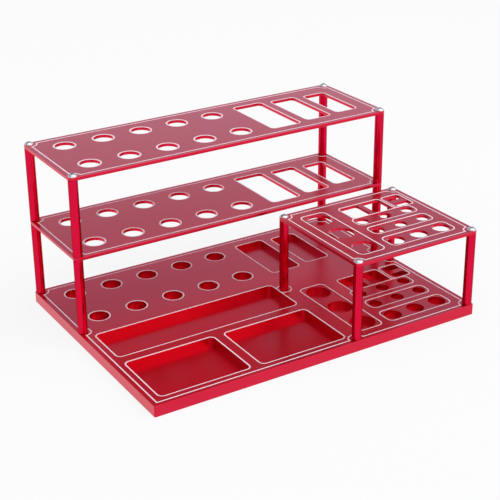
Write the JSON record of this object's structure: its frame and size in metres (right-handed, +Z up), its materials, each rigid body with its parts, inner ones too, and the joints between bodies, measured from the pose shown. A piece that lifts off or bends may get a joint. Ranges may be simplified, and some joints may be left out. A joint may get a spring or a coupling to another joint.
{
  "type": "hobby workstation organizer",
  "caption": "Open bench organizer of thin metal plates on round posts, with milled trays, driver holes, wide slots and a small raised side shelf for bits and handles.",
  "frame": {"origin": "middle of the base plate's underside, on the surface that the organizer stands on", "axes": "+X along the long side to the end with the small side rack, +Y to the tall rack at the back, +Z up"},
  "size_m": [0.3, 0.22, 0.1456],
  "materials": {
    "red_plate": "satin red anodised, bright cut lines",
    "red_post": "turned, red anodised",
    "screw_steel": "bright nickel plated",
    "stud_steel": "plain"
  },
  "bodies": {
    "root": {"base_plate": "red_plate", "middle_shelf": "red_plate", "top_shelf": "red_plate", "side_shelf": "red_plate", "rack_base_stud_front_left": "stud_steel", "lower_post_front_left": "red_post", "joining_stud_front_left": "stud_steel", "upper_post_front_left": "red_post", "top_screw_front_left": "screw_steel", "rack_base_stud_front_right": "stud_steel", "lower_post_front_right": "red_post", "joining_stud_front_right": "stud_steel", "upper_post_front_right": "red_post", "top_screw_front_right": "screw_steel", "rack_base_stud_back_left": "stud_steel", "lower_post_back_left": "red_post", "joining_stud_back_left": "stud_steel", "upper_post_back_left": "red_post", "top_screw_back_left": "screw_steel", "rack_base_stud_back_right": "stud_steel", "lower_post_back_right": "red_post", "joining_stud_back_right": "stud_steel", "upper_post_back_right": "red_post", "top_screw_back_right": "screw_steel", "side_base_stud_front_left": "stud_steel", "side_post_front_left": "red_post", "side_screw_front_left": "screw_steel", "side_base_stud_front_right": "stud_steel", "side_post_front_right": "red_post", "side_screw_front_right": "screw_steel", "side_base_stud_back_left": "stud_steel", "side_post_back_left": "red_post", "side_screw_back_left": "screw_steel", "side_base_stud_back_right": "stud_steel", "side_post_back_right": "red_post", "side_screw_back_right": "screw_steel"}
  },
  "joints": []
}
